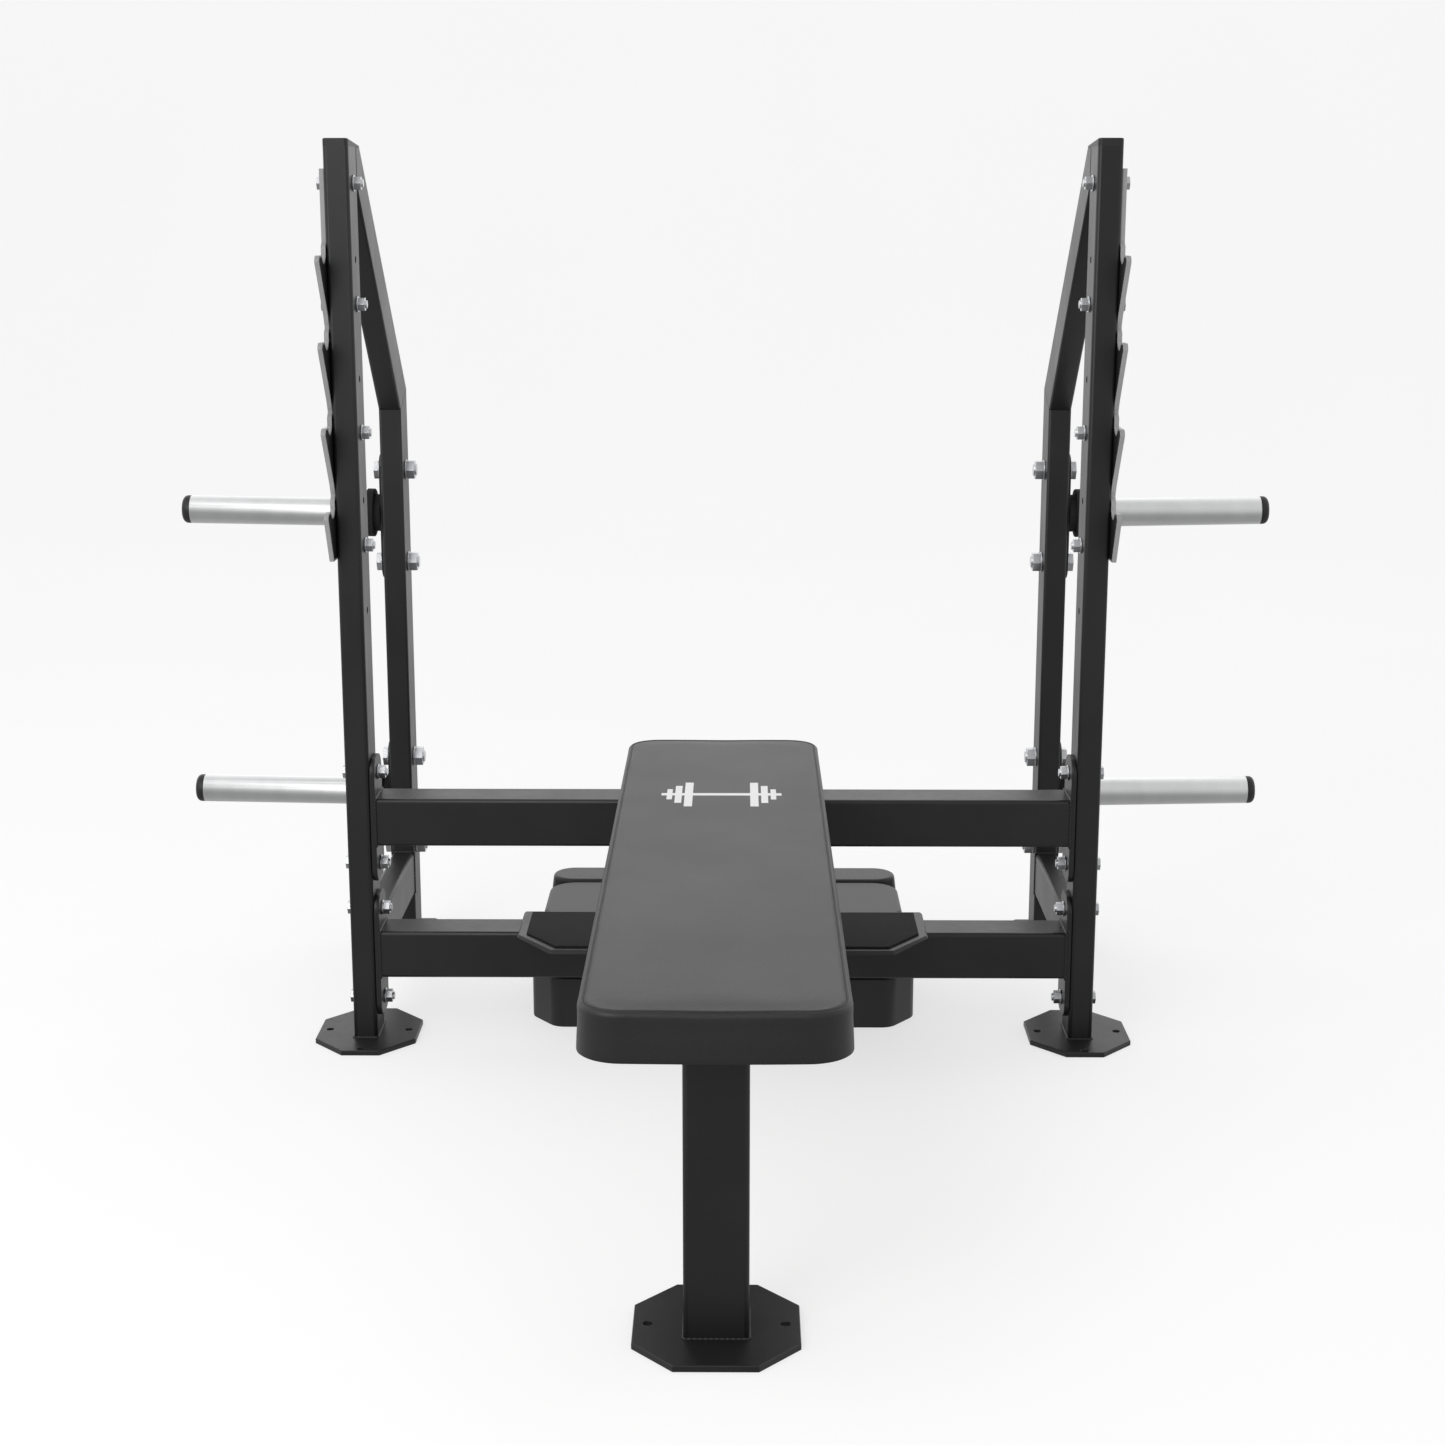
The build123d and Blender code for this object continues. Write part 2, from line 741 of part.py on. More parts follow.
def rack_bolts():
    """Hexagon bolts through the posts, head outside."""
    with BuildPart() as bolts:
        for side, outer, inner, y, z, (shank, flats, head, nut, _, _) in rack_bolt_places():
            head_face = outer + washer_t
            tip = inner - washer_t - nut - bolt_tail
            with BuildSketch(inward(side, head_face + head, y, z)):
                RegularPolygon(flats / 2, 6, major_radius=False)
            extrude(amount=head)
            with BuildSketch(inward(side, head_face, y, z)):
                Circle(shank)
            extrude(amount=head_face - tip)
    return bolts.part


def rack_washers():
    """Two washers on every through bolt."""
    with BuildPart() as washers:
        for side, outer, inner, y, z, (_, _, _, _, rim, hole) in rack_bolt_places():
            for face in (outer + washer_t, inner):
                with BuildSketch(inward(side, face, y, z)):
                    Circle(rim)
                    Circle(hole, mode=Mode.SUBTRACT)
                extrude(amount=washer_t)
    return washers.part


def rack_nuts():
    """Hexagon nut on the inner end of every through bolt."""
    with BuildPart() as nuts:
        for side, _, inner, y, z, (shank, flats, _, nut, _, _) in rack_bolt_places():
            with BuildSketch(inward(side, inner - washer_t, y, z)):
                RegularPolygon(flats / 2, 6, major_radius=False)
                Circle(shank + nut_gap, mode=Mode.SUBTRACT)
            extrude(amount=nut)
    return nuts.part


def spine_bolts():
    """Bolts from the spine flange back through the upper crossbeam."""
    front = rack_y - plate_t
    back = rack_y + post_d
    with BuildPart() as bolts:
        for x, z in spine_bolt_points():
            with BuildSketch(Plane((x, front - head_t, z), x_dir=(1, 0, 0), z_dir=(0, 1, 0))):
                RegularPolygon(hex_af / 2, 6, major_radius=False)
            extrude(amount=head_t)
            with BuildSketch(Plane((x, front, z), x_dir=(1, 0, 0), z_dir=(0, 1, 0))):
                Circle(bolt_r)
            extrude(amount=back - front + nut_t + bolt_tail)
    return bolts.part


def spine_nuts():
    """Nuts behind the upper crossbeam."""
    with BuildPart() as nuts:
        for x, z in spine_bolt_points():
            with BuildSketch(Plane((x, rack_y + post_d, z), x_dir=(1, 0, 0), z_dir=(0, 1, 0))):
                RegularPolygon(hex_af / 2, 6, major_radius=False)
                Circle(bolt_r + nut_gap, mode=Mode.SUBTRACT)
            extrude(amount=nut_t)
    return nuts.part


# ---------------------------------------------------------------- write every piece
for name, side in SIDES:
    x = side * post_x
    front_holes = [(-foot_hole_x, -front_foot_shift), (foot_hole_x, -front_foot_shift), (0, -foot_hole_y)]
    rear_holes = [(-foot_hole_x, -front_foot_shift), (foot_hole_x, -front_foot_shift), (0, rear_hole_y)]
    save(front_post(side), f"front_post_{name}")
    save(rear_post(side), f"rear_post_{name}")
    save(top_brace(side), f"top_brace_{name}")
    save(side_rail(side), f"side_rail_{name}")
    save(post_cap(side), f"post_cap_{name}")
    save(foot_plate(x, post_mid_y + front_foot_shift, foot_w, foot_l, front_holes), f"front_foot_{name}")
    save(foot_plate(x, rear_mid_y + rear_foot_shift, foot_w, foot_l, rear_holes), f"rear_foot_{name}")
    save(end_flange(side, upper_flange_z), f"upper_flange_{name}")
    save(end_flange(side, lower_flange_z), f"lower_flange_{name}")
    save(catch_plate(side), f"bar_catch_{name}")
    save(catch_liners(side), f"catch_liners_{name}")
    for level, z, plate_z in zip(("lower", "upper"), horn_z, horn_plate_z):
        save(horn_plate(side, plate_z), f"{level}_horn_plate_{name}")
        save(weight_horn(side, z), f"{level}_horn_{name}")

save(upper_crossbeam(), "upper_crossbeam")
save(crossbeam(lower_beam_z), "lower_crossbeam")
save(horn_stops(), "horn_stops")
save(horn_caps(), "horn_caps")
save(bench_spine(), "bench_spine")
save(spine_flange(), "spine_flange")
save(spine_bolts(), "spine_bolts")
save(spine_nuts(), "spine_nuts")
save(front_leg(), "front_leg")
save(foot_plate(0, leg_y, leg_foot_w, leg_foot_l, [(-leg_hole_x, 0), (leg_hole_x, 0)]), "leg_foot")
save(pad_brackets(), "pad_brackets")
save(pad_board(), "pad_board")
save(pad(), "pad")
save(pad_screws(), "pad_screws")
save(tread_plate(), "tread_plate")
save(tread_mat(), "tread_mat")
save(step_skirt(), "step_skirt")
save(step_body(), "step_body")
save(step_lip(), "step_lip")
save(rack_bolts(), "rack_bolts")
save(rack_washers(), "rack_washers")
save(rack_nuts(), "rack_nuts")
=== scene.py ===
"""Looks of the olympic bench press round its CAD frame: materials, cushion, welds, light and camera."""
import json
import math

import bmesh
import bpy
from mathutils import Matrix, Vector
from mathutils.kdtree import KDTree


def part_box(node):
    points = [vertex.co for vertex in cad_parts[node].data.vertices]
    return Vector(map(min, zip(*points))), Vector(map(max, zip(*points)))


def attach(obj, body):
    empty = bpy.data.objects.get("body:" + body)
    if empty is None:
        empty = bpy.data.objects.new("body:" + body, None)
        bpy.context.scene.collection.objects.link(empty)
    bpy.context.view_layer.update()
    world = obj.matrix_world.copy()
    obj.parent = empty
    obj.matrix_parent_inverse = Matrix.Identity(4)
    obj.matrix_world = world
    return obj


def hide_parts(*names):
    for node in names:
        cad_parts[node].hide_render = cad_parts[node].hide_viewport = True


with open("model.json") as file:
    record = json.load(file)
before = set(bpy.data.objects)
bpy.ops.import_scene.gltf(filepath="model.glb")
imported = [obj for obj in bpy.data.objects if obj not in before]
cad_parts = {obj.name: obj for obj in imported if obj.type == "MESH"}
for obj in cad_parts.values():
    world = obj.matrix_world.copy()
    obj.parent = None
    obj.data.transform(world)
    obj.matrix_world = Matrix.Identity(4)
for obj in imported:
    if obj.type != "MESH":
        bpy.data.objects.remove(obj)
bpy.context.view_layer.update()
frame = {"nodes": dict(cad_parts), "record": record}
scene = bpy.context.scene


# ---------------------------------------------------------------- camera
CAMERA_SENSOR = 36.0           # millimetres, as is the lens
CAMERA_LENS = 58.16
CAMERA_CLIP = (0.05, 60.0)
CAMERA_PLACE = (0.026, -3.274, 1.3137)
CAMERA_TILT = math.radians(77.43)
CAMERA_PAN = 0.0074


def add_camera():
    """Camera in front of the bench, a little lower than the tops of its posts."""
    camera = bpy.data.cameras.new("camera")
    camera.sensor_width = CAMERA_SENSOR
    camera.lens = CAMERA_LENS
    camera.clip_start, camera.clip_end = CAMERA_CLIP
    holder = bpy.data.objects.new("camera", camera)
    scene.collection.objects.link(holder)
    holder.location = CAMERA_PLACE
    holder.rotation_euler = (CAMERA_TILT, 0.0, CAMERA_PAN)
    scene.camera = holder


# ---------------------------------------------------------------- node helpers
class Nodes:
    """Short way of building one material's node tree."""

    def __init__(self, name):
        self.material = bpy.data.materials.new(name)
        self.material.use_nodes = True
        self.tree = self.material.node_tree
        self.shader = self.tree.nodes["Principled BSDF"]

    def add(self, kind, **values):
        node = self.tree.nodes.new(kind)
        for key, value in values.items():
            if key in node.inputs.keys():
                node.inputs[key].default_value = value
            else:
                setattr(node, key, value)
        return node

    def link(self, source, target):
        self.tree.links.new(source, target)

    def coords(self, scale=(1.0, 1.0, 1.0)):
        texture = self.add("ShaderNodeTexCoord")
        mapping = self.add("ShaderNodeMapping", Scale=scale)
        self.link(texture.outputs["Object"], mapping.inputs["Vector"])
        return mapping.outputs["Vector"]

    def noise(self, scale, detail=3.0, roughness=0.55, stretch=(1.0, 1.0, 1.0)):
        node = self.add("ShaderNodeTexNoise", Scale=scale, Detail=detail, Roughness=roughness)
        self.link(self.coords(stretch), node.inputs["Vector"])
        return node.outputs["Fac"]

    def cells(self, scale, feature="F1", stretch=(1.0, 1.0, 1.0)):
        node = self.add("ShaderNodeTexVoronoi", feature=feature, Scale=scale)
        self.link(self.coords(stretch), node.inputs["Vector"])
        return node.outputs["Distance"]

    def ramp(self, value, stops):
        node = self.add("ShaderNodeValToRGB")
        ramp = node.color_ramp
        while len(ramp.elements) < len(stops):
            ramp.elements.new(0.5)
        for element, (place, colour) in zip(ramp.elements, stops):
            element.position = place
            element.color = tuple(colour) + (1.0,) if len(colour) == 3 else (colour[0],) * 3 + (1.0,)
        self.link(value, node.inputs["Fac"])
        return node.outputs["Color"]

    def span(self, value, low, high, start=0.0, end=1.0):
        node = self.add("ShaderNodeMapRange")
        node.inputs["From Min"].default_value = start
        node.inputs["From Max"].default_value = end
        node.inputs["To Min"].default_value = low
        node.inputs["To Max"].default_value = high
        self.link(value, node.inputs["Value"])
        return node.outputs["Result"]

    def mix(self, factor, first, second, blend="MIX"):
        node = self.add("ShaderNodeMix", data_type="RGBA", blend_type=blend)
        if isinstance(factor, float):
            node.inputs[0].default_value = factor
        else:
            self.link(factor, node.inputs[0])
        for value, socket in ((first, node.inputs[6]), (second, node.inputs[7])):
            if isinstance(value, tuple):
                socket.default_value = value + (1.0,)
            else:
                self.link(value, socket)
        return node.outputs[2]

    def math(self, operation, first, second=None):
        node = self.add("ShaderNodeMath", operation=operation)
        for value, socket in ((first, node.inputs[0]), (second, node.inputs[1])):
            if value is None:
                continue
            if isinstance(value, (int, float)):
                socket.default_value = value
            else:
                self.link(value, socket)
        return node.outputs[0]

    def bump(self, height, distance, strength=1.0, normal=None):
        node = self.add("ShaderNodeBump", Distance=distance, Strength=strength)
        self.link(height, node.inputs["Height"])
        if normal is not None:
            self.link(normal, node.inputs["Normal"])
        return node.outputs["Normal"]

    def finish(self, colour=None, roughness=None, normal=None, **values):
        for value, name in ((colour, "Base Color"), (roughness, "Roughness"), (normal, "Normal")):
            if value is None:
                continue
            if isinstance(value, tuple):
                self.shader.inputs[name].default_value = value + (1.0,)
            elif isinstance(value, float):
                self.shader.inputs[name].default_value = value
            else:
                self.link(value, self.shader.inputs[name])
        for name, value in values.items():
            self.shader.inputs[name.replace("_", " ")].default_value = value
        return self.material


# ---------------------------------------------------------------- materials
MARK_Y = 0.044                 # middle of the print along the cushion
MARK_FLOOR = 0.45              # no print below this height
# Bars of the print, the same on both sides of its middle: middle across, half width, half length along.
MARK_BARS = ((0.0, 0.088, 0.007), (0.048, 0.006, 0.07), (0.063, 0.005, 0.05), (0.076, 0.004, 0.03))


def powder_coat():
    """Satin black powder coat: orange peel, faint dust and handling marks."""
    n = Nodes("frame_paint")
    cloudy = n.noise(6.0, 4.0)
    peel = n.noise(900.0, 2.0, 0.5)
    scuffs = n.noise(60.0, 6.0, 0.7, (1.0, 1.0, 0.25))
    colour = n.ramp(cloudy, [(0.3, (0.0085, 0.0085, 0.0088)), (0.7, (0.012, 0.012, 0.0124))])
    worn = n.span(scuffs, 0.0, 0.3, 0.62, 0.8)
    colour = n.mix(worn, colour, (0.024, 0.024, 0.025))
    rough = n.span(n.mix(0.35, cloudy, scuffs), 0.34, 0.46, 0.3, 0.7)
    normal = n.bump(peel, 0.00025, 0.3)
    return n.finish(colour, rough, normal, Specular_IOR_Level=0.5)


def print_mask(n):
    """White print on the cushion: a plain barbell sign made of bars, on its upper face only."""
    texture = n.add("ShaderNodeTexCoord")
    axes = n.add("ShaderNodeSeparateXYZ")
    n.link(texture.outputs["Object"], axes.inputs[0])
    across = n.math("ABSOLUTE", axes.outputs["X"])
    along = n.math("ABSOLUTE", n.math("SUBTRACT", axes.outputs["Y"], MARK_Y))
    upper = n.math("GREATER_THAN", axes.outputs["Z"], MARK_FLOOR)
    mask = None
    for middle, half_width, half_height in MARK_BARS:
        inside_x = n.math("LESS_THAN", n.math("ABSOLUTE", n.math("SUBTRACT", across, middle)), half_width)
        inside_y = n.math("LESS_THAN", along, half_height)
        bar = n.math("MULTIPLY", inside_x, inside_y)
        mask = bar if mask is None else n.math("MAXIMUM", mask, bar)
    return n.math("MULTIPLY", mask, upper)


def leatherette():
    """Charcoal vinyl: fine pebble grain with shallow creases whose lines carry painted shade, and a white
    print.
    """
    n = Nodes("vinyl")
    pebbles = n.cells(620.0)
    creases = n.cells(300.0, "DISTANCE_TO_EDGE")
    cloudy = n.noise(5.0, 3.0)
    grain = n.noise(1400.0, 2.0)
    colour = n.ramp(cloudy, [(0.3, (0.0105, 0.0105, 0.011)), (0.7, (0.0145, 0.0145, 0.015))])
    # painted shade: the colour is darkened along the crease lines to stand in for shade in the grooves
    crease_shade = n.span(creases, 0.45, 0.0, 0.0, 0.12)
    colour = n.mix(crease_shade, colour, (0.007, 0.007, 0.0072))
    print_on = print_mask(n)
    colour = n.mix(print_on, colour, (0.86, 0.86, 0.86))
    rough = n.span(n.mix(0.5, cloudy, grain), 0.4, 0.5, 0.3, 0.7)
    fine = n.bump(pebbles, 0.0003, 0.25)
    normal = n.bump(n.span(creases, 0.0, 1.0, 0.0, 0.12), 0.0003, 0.3, fine)
    return n.finish(colour, rough, normal, Specular_IOR_Level=0.5)


def chrome():
    """Plated tube: faint lengthwise polish lines and plate rub marks."""
    n = Nodes("chrome")
    lines = n.noise(30.0, 4.0, 0.6, (0.6, 40.0, 40.0))
    rub = n.noise(18.0, 4.0, 0.6, (2.0, 1.0, 1.0))
    colour = n.ramp(rub, [(0.35, (0.82, 0.825, 0.83)), (0.6, (0.86, 0.865, 0.87))])
    rough = n.span(n.mix(0.5, lines, rub), 0.3, 0.36, 0.3, 0.7)
    normal = n.bump(lines, 0.0001, 0.06)
    return n.finish(colour, rough, normal, Metallic=1.0)


def zinc():
    """Bright zinc plate on bolts, washers and nuts."""
    n = Nodes("zinc")
    crystals = n.cells(420.0)
    cloudy = n.noise(60.0, 3.0)
    colour = n.ramp(cloudy, [(0.35, (0.66, 0.67, 0.69)), (0.65, (0.76, 0.77, 0.79))])
    rough = n.span(crystals, 0.34, 0.46, 0.0, 0.8)
    normal = n.bump(n.noise(500.0, 2.0), 0.0001, 0.15)
    return n.finish(colour, rough, normal, Metallic=1.0)


def rubber():
    """Matt black rubber with a speckled grain."""
    n = Nodes("rubber")
    speckle = n.noise(1100.0, 3.0, 0.7)
    cloudy = n.noise(14.0, 3.0)
    colour = n.ramp(cloudy, [(0.3, (0.011, 0.011, 0.011)), (0.7, (0.016, 0.016, 0.0165))])
    rough = n.span(speckle, 0.7, 0.9, 0.3, 0.7)
    return n.finish(colour, rough, n.bump(speckle, 0.0005, 0.4), Specular_IOR_Level=0.25)


def moulded(name, dark, light, rough_low, rough_high, grain_scale=800.0):
    """Moulded plastic with a fine spark-eroded grain."""
    n = Nodes(name)
    grain = n.noise(grain_scale, 3.0, 0.6)
    cloudy = n.noise(9.0, 3.0)
    colour = n.ramp(cloudy, [(0.3, (dark,) * 3), (0.7, (light,) * 3)])
    rough = n.span(grain, rough_low, rough_high, 0.3, 0.7)
    return n.finish(colour, rough, n.bump(grain, 0.0003, 0.4))


def plywood():
    """Stained board under the cushion: long grain and edge layers."""
    n = Nodes("board")
    grain = n.noise(22.0, 6.0, 0.65, (14.0, 1.0, 1.0))
    layers = n.add("ShaderNodeTexWave", wave_type="BANDS", bands_direction="Z", Scale=330.0, Distortion=1.0)
    n.link(n.coords(), layers.inputs["Vector"])
    colour = n.ramp(grain, [(0.3, (0.07, 0.05, 0.035)), (0.7, (0.16, 0.115, 0.075))])
    colour = n.mix(0.3, colour, layers.outputs["Color"], "MULTIPLY")
    return n.finish(colour, n.span(grain, 0.55, 0.8, 0.3, 0.7), n.bump(grain, 0.0004, 0.4))


MATERIALS = {
    "frame_paint": powder_coat(),
    "vinyl": leatherette(),
    "board": plywood(),
    "zinc": zinc(),
    "chrome": chrome(),
    "rubber": rubber(),
    "black_plastic": moulded("black_plastic", 0.012, 0.018, 0.38, 0.55),
    "liner": moulded("liner", 0.3, 0.36, 0.3, 0.42),
    "step_shell": moulded("step_shell", 0.011, 0.015, 0.38, 0.48, 500.0),
}


# ---------------------------------------------------------------- CAD nodes
# Width of the bevel on the hard edges of each slot's nodes.
SOFT_EDGES = {"frame_paint": 0.0012, "zinc": 0.0007, "chrome": 0.0006, "step_shell": 0.0015, "liner": 0.0006}
SHARP_NODES = ("bar_catch_left", "bar_catch_right")     # laser-cut plates: their edges stay sharp
JOIN_WITHIN = 0.00001
FLAT_WITHIN = math.radians(0.2)
HARD_EDGE = math.radians(40)


def soften(node, width):
    """Round a piece's hard edges by a small bevel."""
    weld = node.modifiers.new("join_faces", "WELD")
    weld.merge_threshold = JOIN_WITHIN
    flat = node.modifiers.new("whole_faces", "DECIMATE")
    flat.decimate_type = "DISSOLVE"
    flat.angle_limit = FLAT_WITHIN
    bevel = node.modifiers.new("soft_edges", "BEVEL")
    bevel.width = width
    bevel.segments = 2
    bevel.limit_method = "ANGLE"
    bevel.angle_limit = HARD_EDGE
    bevel.use_clamp_overlap = True
    bevel.harden_normals = True


def paint_nodes():
    """Give every CAD node the material of its record slot, and soften its edges."""
    for part in frame["record"]["subparts"]:
        node = frame["nodes"][part["node"]]
        slot = part["material_slot"]
        node.data.materials.clear()
        node.data.materials.append(MATERIALS[slot])
        if slot in SOFT_EDGES and part["node"] not in SHARP_NODES:
            soften(node, SOFT_EDGES[slot])


# ---------------------------------------------------------------- new pieces
OUTLINE_CORNER = 14            # steps in each corner of an outline
OUTLINE_ACROSS = 40
OUTLINE_ALONG = 200


def add_piece(name, mesh, slot):
    """Put a new mesh in the scene as a piece of the bench."""
    piece = bpy.data.objects.new(name, mesh)
    scene.collection.objects.link(piece)
    mesh.materials.clear()
    mesh.materials.append(MATERIALS[slot])
    for face in mesh.polygons:
        face.use_smooth = True
    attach(piece, "root")
    return piece


def rounded_outline(low, high, radius):
    """Points round a rectangle with rounded corners, in plan, spread along its straight runs too."""
    points = []
    width, depth = high.x - low.x, high.y - low.y
    corners = ((high.x - radius, high.y - radius), (low.x + radius, high.y - radius),
               (low.x + radius, low.y + radius), (high.x - radius, low.y + radius))
    runs = (OUTLINE_ACROSS, OUTLINE_ALONG, OUTLINE_ACROSS, OUTLINE_ALONG)
    headings = ((-1, 0), (0, -1), (1, 0), (0, 1))
    for turn, ((x, y), run, (hx, hy)) in enumerate(zip(corners, runs, headings)):
        for i in range(OUTLINE_CORNER + 1):
            angle = math.pi / 2 * (turn + i / OUTLINE_CORNER)
            points.append((x + radius * math.cos(angle), y + radius * math.sin(angle)))
        end_x, end_y = points[-1]
        length = (width if hx else depth) - 2 * radius
        points += [(end_x + hx * length * i / run, end_y + hy * length * i / run) for i in range(1, run)]
    return points


# ---------------------------------------------------------------- cushion
PAD_CORNER = 0.05
PAD_EDGE = 0.006               # rounding of the upper edge
PAD_HEM = 0.0015               # rounding of the lower edge
PAD_SLACK = 0.003              # the cover starts this much smaller and is swollen to size
PAD_SWELL_CAP = 0.004
PAD_SEAM_DEPTH = 0.0012
PAD_SEAM_WIDTH = 0.0009
PAD_RING_STEP = 0.005
PAD_UNDERSIDE = 0.03           # inset of the innermost ring of the lower face
PAD_NEAR = 90                  # cage points that move one point of the cover
PAD_BLUR = 0.0006              # evens out the pull of near and far cage points
PAD_PLUMP = 0.6                # share of the cage's swelling that the cover takes
CAGE_VOXEL = 0.006
CAGE_HELD = 0.004              # the cage is held up to this height
CAGE_MASS = 0.4
CAGE_STIFFNESS = 30.0
CAGE_BENDING = 2.0
CAGE_PRESSURE = 4.0
CAGE_FRAMES = 20


def pad_profile(height, half):
    """Section of the cushion as pairs of inset from the outline and height over its lower face."""
    points = [(PAD_UNDERSIDE, 0.0), (PAD_HEM, 0.0), (PAD_HEM * 0.3, PAD_HEM * 0.3), (0.0, PAD_HEM)]
    rise = height - PAD_EDGE - PAD_HEM
    count = int(rise / PAD_RING_STEP)
    points += [(0.0, PAD_HEM + rise * i / count) for i in range(1, count + 1)]
    for i in range(1, 6):
        angle = math.pi / 2 * i / 5
        points.append((PAD_EDGE * (1 - math.cos(angle)), height - PAD_EDGE * (1 - math.sin(angle))))
    seam = PAD_EDGE + PAD_SEAM_WIDTH
    points += [(seam, height - PAD_SEAM_DEPTH), (seam + PAD_SEAM_WIDTH, height - PAD_SEAM_DEPTH),
               (seam + 2 * PAD_SEAM_WIDTH, height)]
    inset = seam + 3 * PAD_SEAM_WIDTH
    while inset < half - 0.002:
        points.append((inset, height))
        inset += PAD_RING_STEP
    return points


def pad_cover(low, high):
    """Closed cover of the cushion, as rings that follow its outline."""
    mesh = bmesh.new()
    rings = []
    for inset, height in pad_profile(high.z - low.z, (high.x - low.x) / 2):
        step = Vector((inset, inset, 0.0))
        outline = rounded_outline(low + step, high - step, max(PAD_CORNER - inset, 0.0005))
        rings.append([mesh.verts.new((x, y, low.z + height)) for x, y in outline])
    count = len(rings[0])
    for lower, upper in zip(rings, rings[1:]):
        for i in range(count):
            j = (i + 1) % count
            mesh.faces.new((lower[i], lower[j], upper[j], upper[i]))
    mesh.faces.new(list(reversed(rings[0])))
    mesh.faces.new(rings[-1])
    bmesh.ops.recalc_face_normals(mesh, faces=mesh.faces)
    data = bpy.data.meshes.new("pad_cover")
    mesh.to_mesh(data)
    mesh.free()
    return data


def apply_modifiers(piece):
    """Bake a piece's modifiers into its mesh."""
    shown = piece.evaluated_get(bpy.context.evaluated_depsgraph_get())
    baked = bpy.data.meshes.new_from_object(shown)
    piece.modifiers.clear()
    piece.data = baked
    return baked


def swollen_cage(cover):
    """Cloth simulation on an even cage: air pressure swells it, held where it is stapled to its board."""
    cage = bpy.data.objects.new("pad_cage", cover.copy())
    scene.collection.objects.link(cage)
    remesh = cage.modifiers.new("remesh", "REMESH")
    remesh.mode = "VOXEL"
    remesh.voxel_size = CAGE_VOXEL
    start = [v.co.copy() for v in apply_modifiers(cage).vertices]
    floor = min(co.z for co in start)
    held = cage.vertex_groups.new(name="held")
    held.add([i for i, co in enumerate(start) if co.z < floor + CAGE_HELD], 1.0, "REPLACE")
    cloth = cage.modifiers.new("cloth", "CLOTH")
    cloth.settings.quality = 5
    cloth.settings.mass = CAGE_MASS
    cloth.settings.tension_stiffness = CAGE_STIFFNESS
    cloth.settings.compression_stiffness = CAGE_STIFFNESS
    cloth.settings.bending_stiffness = CAGE_BENDING
    cloth.settings.use_pressure = True
    cloth.settings.uniform_pressure_force = CAGE_PRESSURE
    cloth.settings.vertex_group_mass = "held"
    cloth.settings.effector_weights.gravity = 0.0
    cloth.collision_settings.use_collision = False
    for number in range(1, CAGE_FRAMES + 1):
        scene.frame_set(number)
    end = [v.co.copy() for v in apply_modifiers(cage).vertices]
    scene.frame_set(1)
    bpy.data.objects.remove(cage)
    moves = []
    for first, last in zip(start, end):
        move = last - first
        moves.append(move * min(1.0, PAD_SWELL_CAP / max(move.length, 1e-9)))
    return start, moves


def follow(cover, start, moves):
    """Lift the cover off its rounded block by the smoothed swelling of the cage, along its own normals."""
    tree = KDTree(len(start))
    for i, place in enumerate(start):
        tree.insert(place, i)
    tree.balance()
    cover.update()
    lifts = []
    for vertex in cover.vertices:
        total, weight = 0.0, 0.0
        for _, i, distance in tree.find_n(vertex.co, PAD_NEAR):
            share = 1.0 / (distance * distance + PAD_BLUR)
            total += moves[i].dot(vertex.normal) * share
            weight += share
        lifts.append(vertex.normal * (PAD_PLUMP * total / weight))
    for vertex, lift in zip(cover.vertices, lifts):
        vertex.co += lift


def fit_box(mesh, low, high):
    """Scale a mesh so that its box is the given one."""
    lows = [min(v.co[i] for v in mesh.vertices) for i in range(3)]
    highs = [max(v.co[i] for v in mesh.vertices) for i in range(3)]
    for vertex in mesh.vertices:
        for i in range(3):
            share = (vertex.co[i] - lows[i]) / (highs[i] - lows[i])
            vertex.co[i] = low[i] + share * (high[i] - low[i])


def build_pad():
    """Cushion: a seamed cover, crowned by the simulation and fitted back into the CAD cushion's box."""
    low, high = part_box("pad")
    slack = Vector((PAD_SLACK, PAD_SLACK, 0.0))
    lift = Vector((0.0, 0.0, PAD_SLACK))
    cover = pad_cover(low + slack, high - slack - lift)
    follow(cover, *swollen_cage(cover))
    fit_box(cover, low, high)
    pad = add_piece("pad_cover", cover, "vinyl")
    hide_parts("pad")


# ---------------------------------------------------------------- welds
WELD_RADIUS = 0.002
WELD_STEP = 0.0016
WELD_RIPPLE = 0.0065           # length of one ripple
WELD_SWELL = 0.16              # share of the radius that a ripple adds
WELD_SIDES = 8
# Each foot plate with the member that stands on it.
FEET = [(f"{place}_foot_{name}", f"{place}_post_{name}")
        for name in ("left", "right") for place in ("front", "rear")]
FEET.append(("leg_foot", "front_leg"))


def weld_bead(mesh, points):
    """Rippled bead of weld along a closed path of points."""
    path = [Vector(p) for p in points + points[:1]]
    rings = []
    travelled = 0.0
    for start, end in zip(path, path[1:]):
        run = end - start
        steps = max(1, int(run.length / WELD_STEP))
        along = run.normalized()
        side = along.orthogonal().normalized()
        other = along.cross(side)
        for i in range(steps + 1):
            place = start + run * (i / steps)
            phase = (travelled + run.length * i / steps) * 2 * math.pi / WELD_RIPPLE
            radius = WELD_RADIUS * (1.0 + WELD_SWELL * math.sin(phase))
            ring = []
            for k in range(WELD_SIDES):
                angle = 2 * math.pi * k / WELD_SIDES
                offset = side * math.cos(angle) + other * math.sin(angle)
                ring.append(mesh.verts.new(place + offset * radius))
            rings.append(ring)
        travelled += run.length
        for first, second in zip(rings[-steps - 1:], rings[-steps:]):
            for k in range(WELD_SIDES):
                j = (k + 1) % WELD_SIDES
                mesh.faces.new((first[k], first[j], second[j], second[k]))
        mesh.faces.new(list(reversed(rings[-steps - 1])))
        mesh.faces.new(rings[-1])


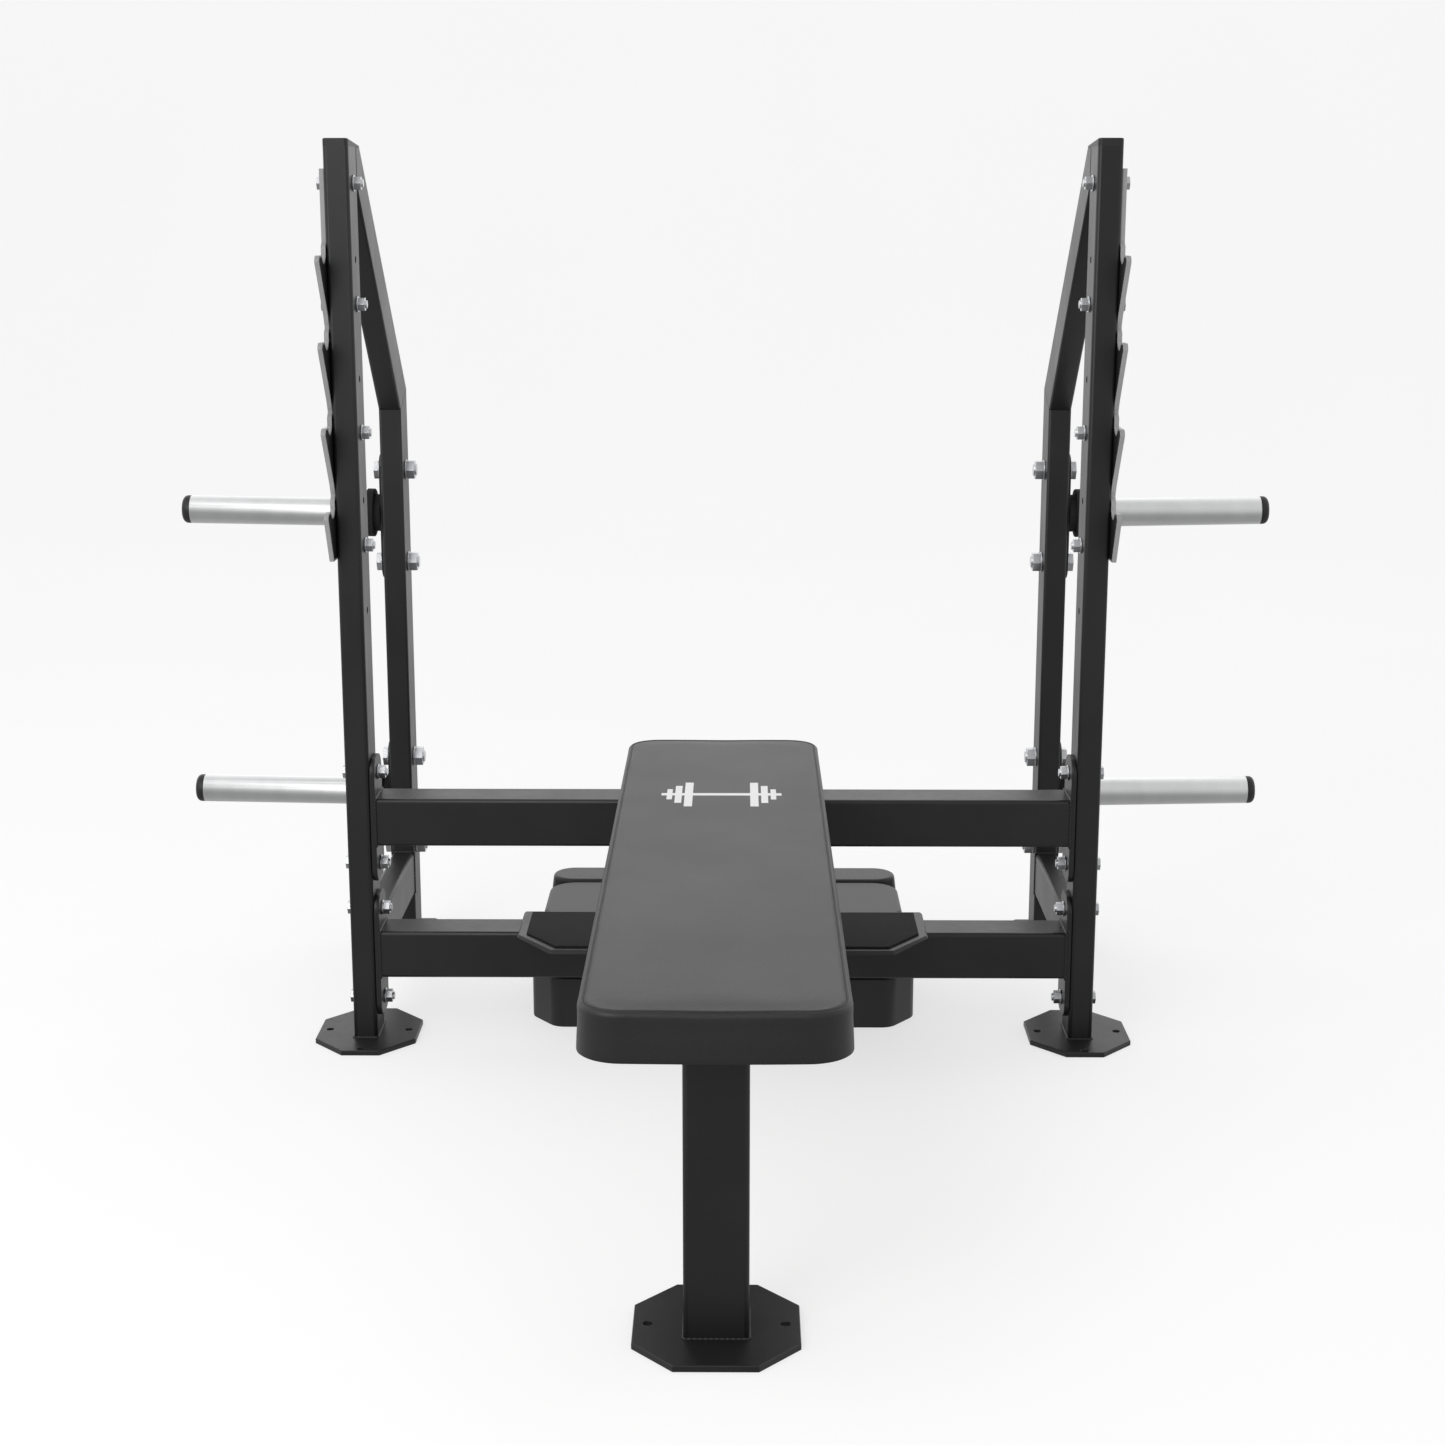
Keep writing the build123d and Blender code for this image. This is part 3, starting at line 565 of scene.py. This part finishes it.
def end_loop(low, high, y):
    """Corners of a member's end that faces along Y."""
    return [(low.x, y, low.z), (high.x, y, low.z), (high.x, y, high.z), (low.x, y, high.z)]


def build_welds():
    """Beads round the feet, the crossbeam ends, the side rails and the spine."""
    mesh = bmesh.new()
    for foot, member in FEET:
        low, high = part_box(member)
        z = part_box(foot)[1].z
        weld_bead(mesh, [(low.x, low.y, z), (high.x, low.y, z), (high.x, high.y, z), (low.x, high.y, z)])
    for beam in ("upper_crossbeam", "lower_crossbeam"):
        low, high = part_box(beam)
        for x in (low.x, high.x):
            weld_bead(mesh, [(x, low.y, low.z), (x, high.y, low.z), (x, high.y, high.z), (x, low.y, high.z)])
    for member in ("side_rail_left", "side_rail_right", "bench_spine"):
        low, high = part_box(member)
        for y in (low.y, high.y):
            weld_bead(mesh, end_loop(low, high, y))
    data = bpy.data.meshes.new("frame_welds")
    mesh.to_mesh(data)
    mesh.free()
    add_piece("frame_welds", data, "frame_paint")


# ---------------------------------------------------------------- stage
FLOOR_FRONT = -9.0
FLOOR_BACK = 5.0               # where the floor starts to curve up
FLOOR_HALF = 12.0
FLOOR_RISE = 9.0
FLOOR_CURVE = 3.0
FLOOR_STEPS = 24
FLOOR_DROP = 0.0005            # the floor lies this far under the feet
FLOOR_GLOW = 0.64


def add_stage():
    """Pale seamless floor that curves up behind the bench."""
    profile = [(FLOOR_FRONT, 0.0)]
    for i in range(FLOOR_STEPS + 1):
        angle = math.pi / 2 * i / FLOOR_STEPS
        along, up = math.sin(angle), 1.0 - math.cos(angle)
        profile.append((FLOOR_BACK + FLOOR_CURVE * along, FLOOR_CURVE * up))
    profile.append((FLOOR_BACK + FLOOR_CURVE, FLOOR_RISE))
    mesh = bpy.data.meshes.new("floor")
    verts = [(x, y, z - FLOOR_DROP) for y, z in profile for x in (-FLOOR_HALF, FLOOR_HALF)]
    faces = [(2 * i, 2 * i + 1, 2 * i + 3, 2 * i + 2) for i in range(len(profile) - 1)]
    mesh.from_pydata(verts, [], faces)
    for face in mesh.polygons:
        face.use_smooth = True
    floor = bpy.data.objects.new("floor", mesh)
    scene.collection.objects.link(floor)
    n = Nodes("floor")
    cloudy = n.noise(0.8, 2.0)
    colour = n.ramp(cloudy, [(0.3, (0.38, 0.38, 0.38)), (0.7, (0.39, 0.39, 0.39))])
    mesh.materials.append(n.finish(colour, 0.9, None, Specular_IOR_Level=0.0, Emission_Strength=FLOOR_GLOW,
                                   Emission_Color=(1.0, 1.0, 1.0, 1.0)))
    floor.visible_glossy = False


def add_light(name, place, target, size, power):
    """Soft box that faces its target."""
    light = bpy.data.lights.new(name, "AREA")
    light.shape = "RECTANGLE"
    light.size, light.size_y = size
    light.energy = power
    holder = bpy.data.objects.new(name, light)
    scene.collection.objects.link(holder)
    holder.location = place
    aim = Vector(target) - Vector(place)
    holder.rotation_euler = aim.to_track_quat("-Z", "Y").to_euler()


# Brightness of the surround by height, from straight down (-1) to straight up (1).
SKY = ((-1.0, 0.36), (-0.4, 0.5), (-0.12, 0.72), (0.05, 1.0), (0.5, 1.08), (0.85, 0.8), (1.0, 0.66))
SKY_FRONT = 0.5                # factor towards -Y
SKY_BACK = 1.25                # factor towards +Y
# Name, place, target, size and power of each soft box.
SOFT_BOXES = (("key", (-2.5, -2.0, 4.5), (0.0, 0.0, 0.4), (3.0, 3.0), 30.0),
              ("front", (-1.9, -3.3, 2.5), (-0.7, 0.2, 0.8), (2.0, 2.2), 44.0))


def add_lights():
    """Soft white surround, darker below and towards the front, with a dimmer patch overhead."""
    world = bpy.data.worlds.new("studio")
    world.use_nodes = True
    tree = world.node_tree
    background = tree.nodes["Background"]
    texture = tree.nodes.new("ShaderNodeTexCoord")
    axes = tree.nodes.new("ShaderNodeSeparateXYZ")
    height = tree.nodes.new("ShaderNodeMapRange")
    height.inputs["From Min"].default_value = -1.0
    ramp = tree.nodes.new("ShaderNodeValToRGB")
    while len(ramp.color_ramp.elements) < len(SKY):
        ramp.color_ramp.elements.new(0.5)
    for element, (z, value) in zip(ramp.color_ramp.elements, SKY):
        element.position = (z + 1.0) / 2.0
        element.color = (value, value, value, 1.0)
    tree.links.new(texture.outputs["Generated"], axes.inputs[0])
    tree.links.new(axes.outputs["Z"], height.inputs["Value"])
    tree.links.new(height.outputs["Result"], ramp.inputs["Fac"])
    tree.links.new(ramp.outputs["Color"], background.inputs["Color"])
    depth = tree.nodes.new("ShaderNodeMapRange")
    depth.inputs["From Min"].default_value = -1.0
    depth.inputs["To Min"].default_value = SKY_FRONT
    depth.inputs["To Max"].default_value = SKY_BACK
    tree.links.new(axes.outputs["Y"], depth.inputs["Value"])
    tree.links.new(depth.outputs["Result"], background.inputs["Strength"])
    scene.world = world
    for box in SOFT_BOXES:
        add_light(*box)
    scene.view_settings.view_transform = "Standard"


add_camera()
add_stage()
add_lights()
paint_nodes()
build_pad()
build_welds()
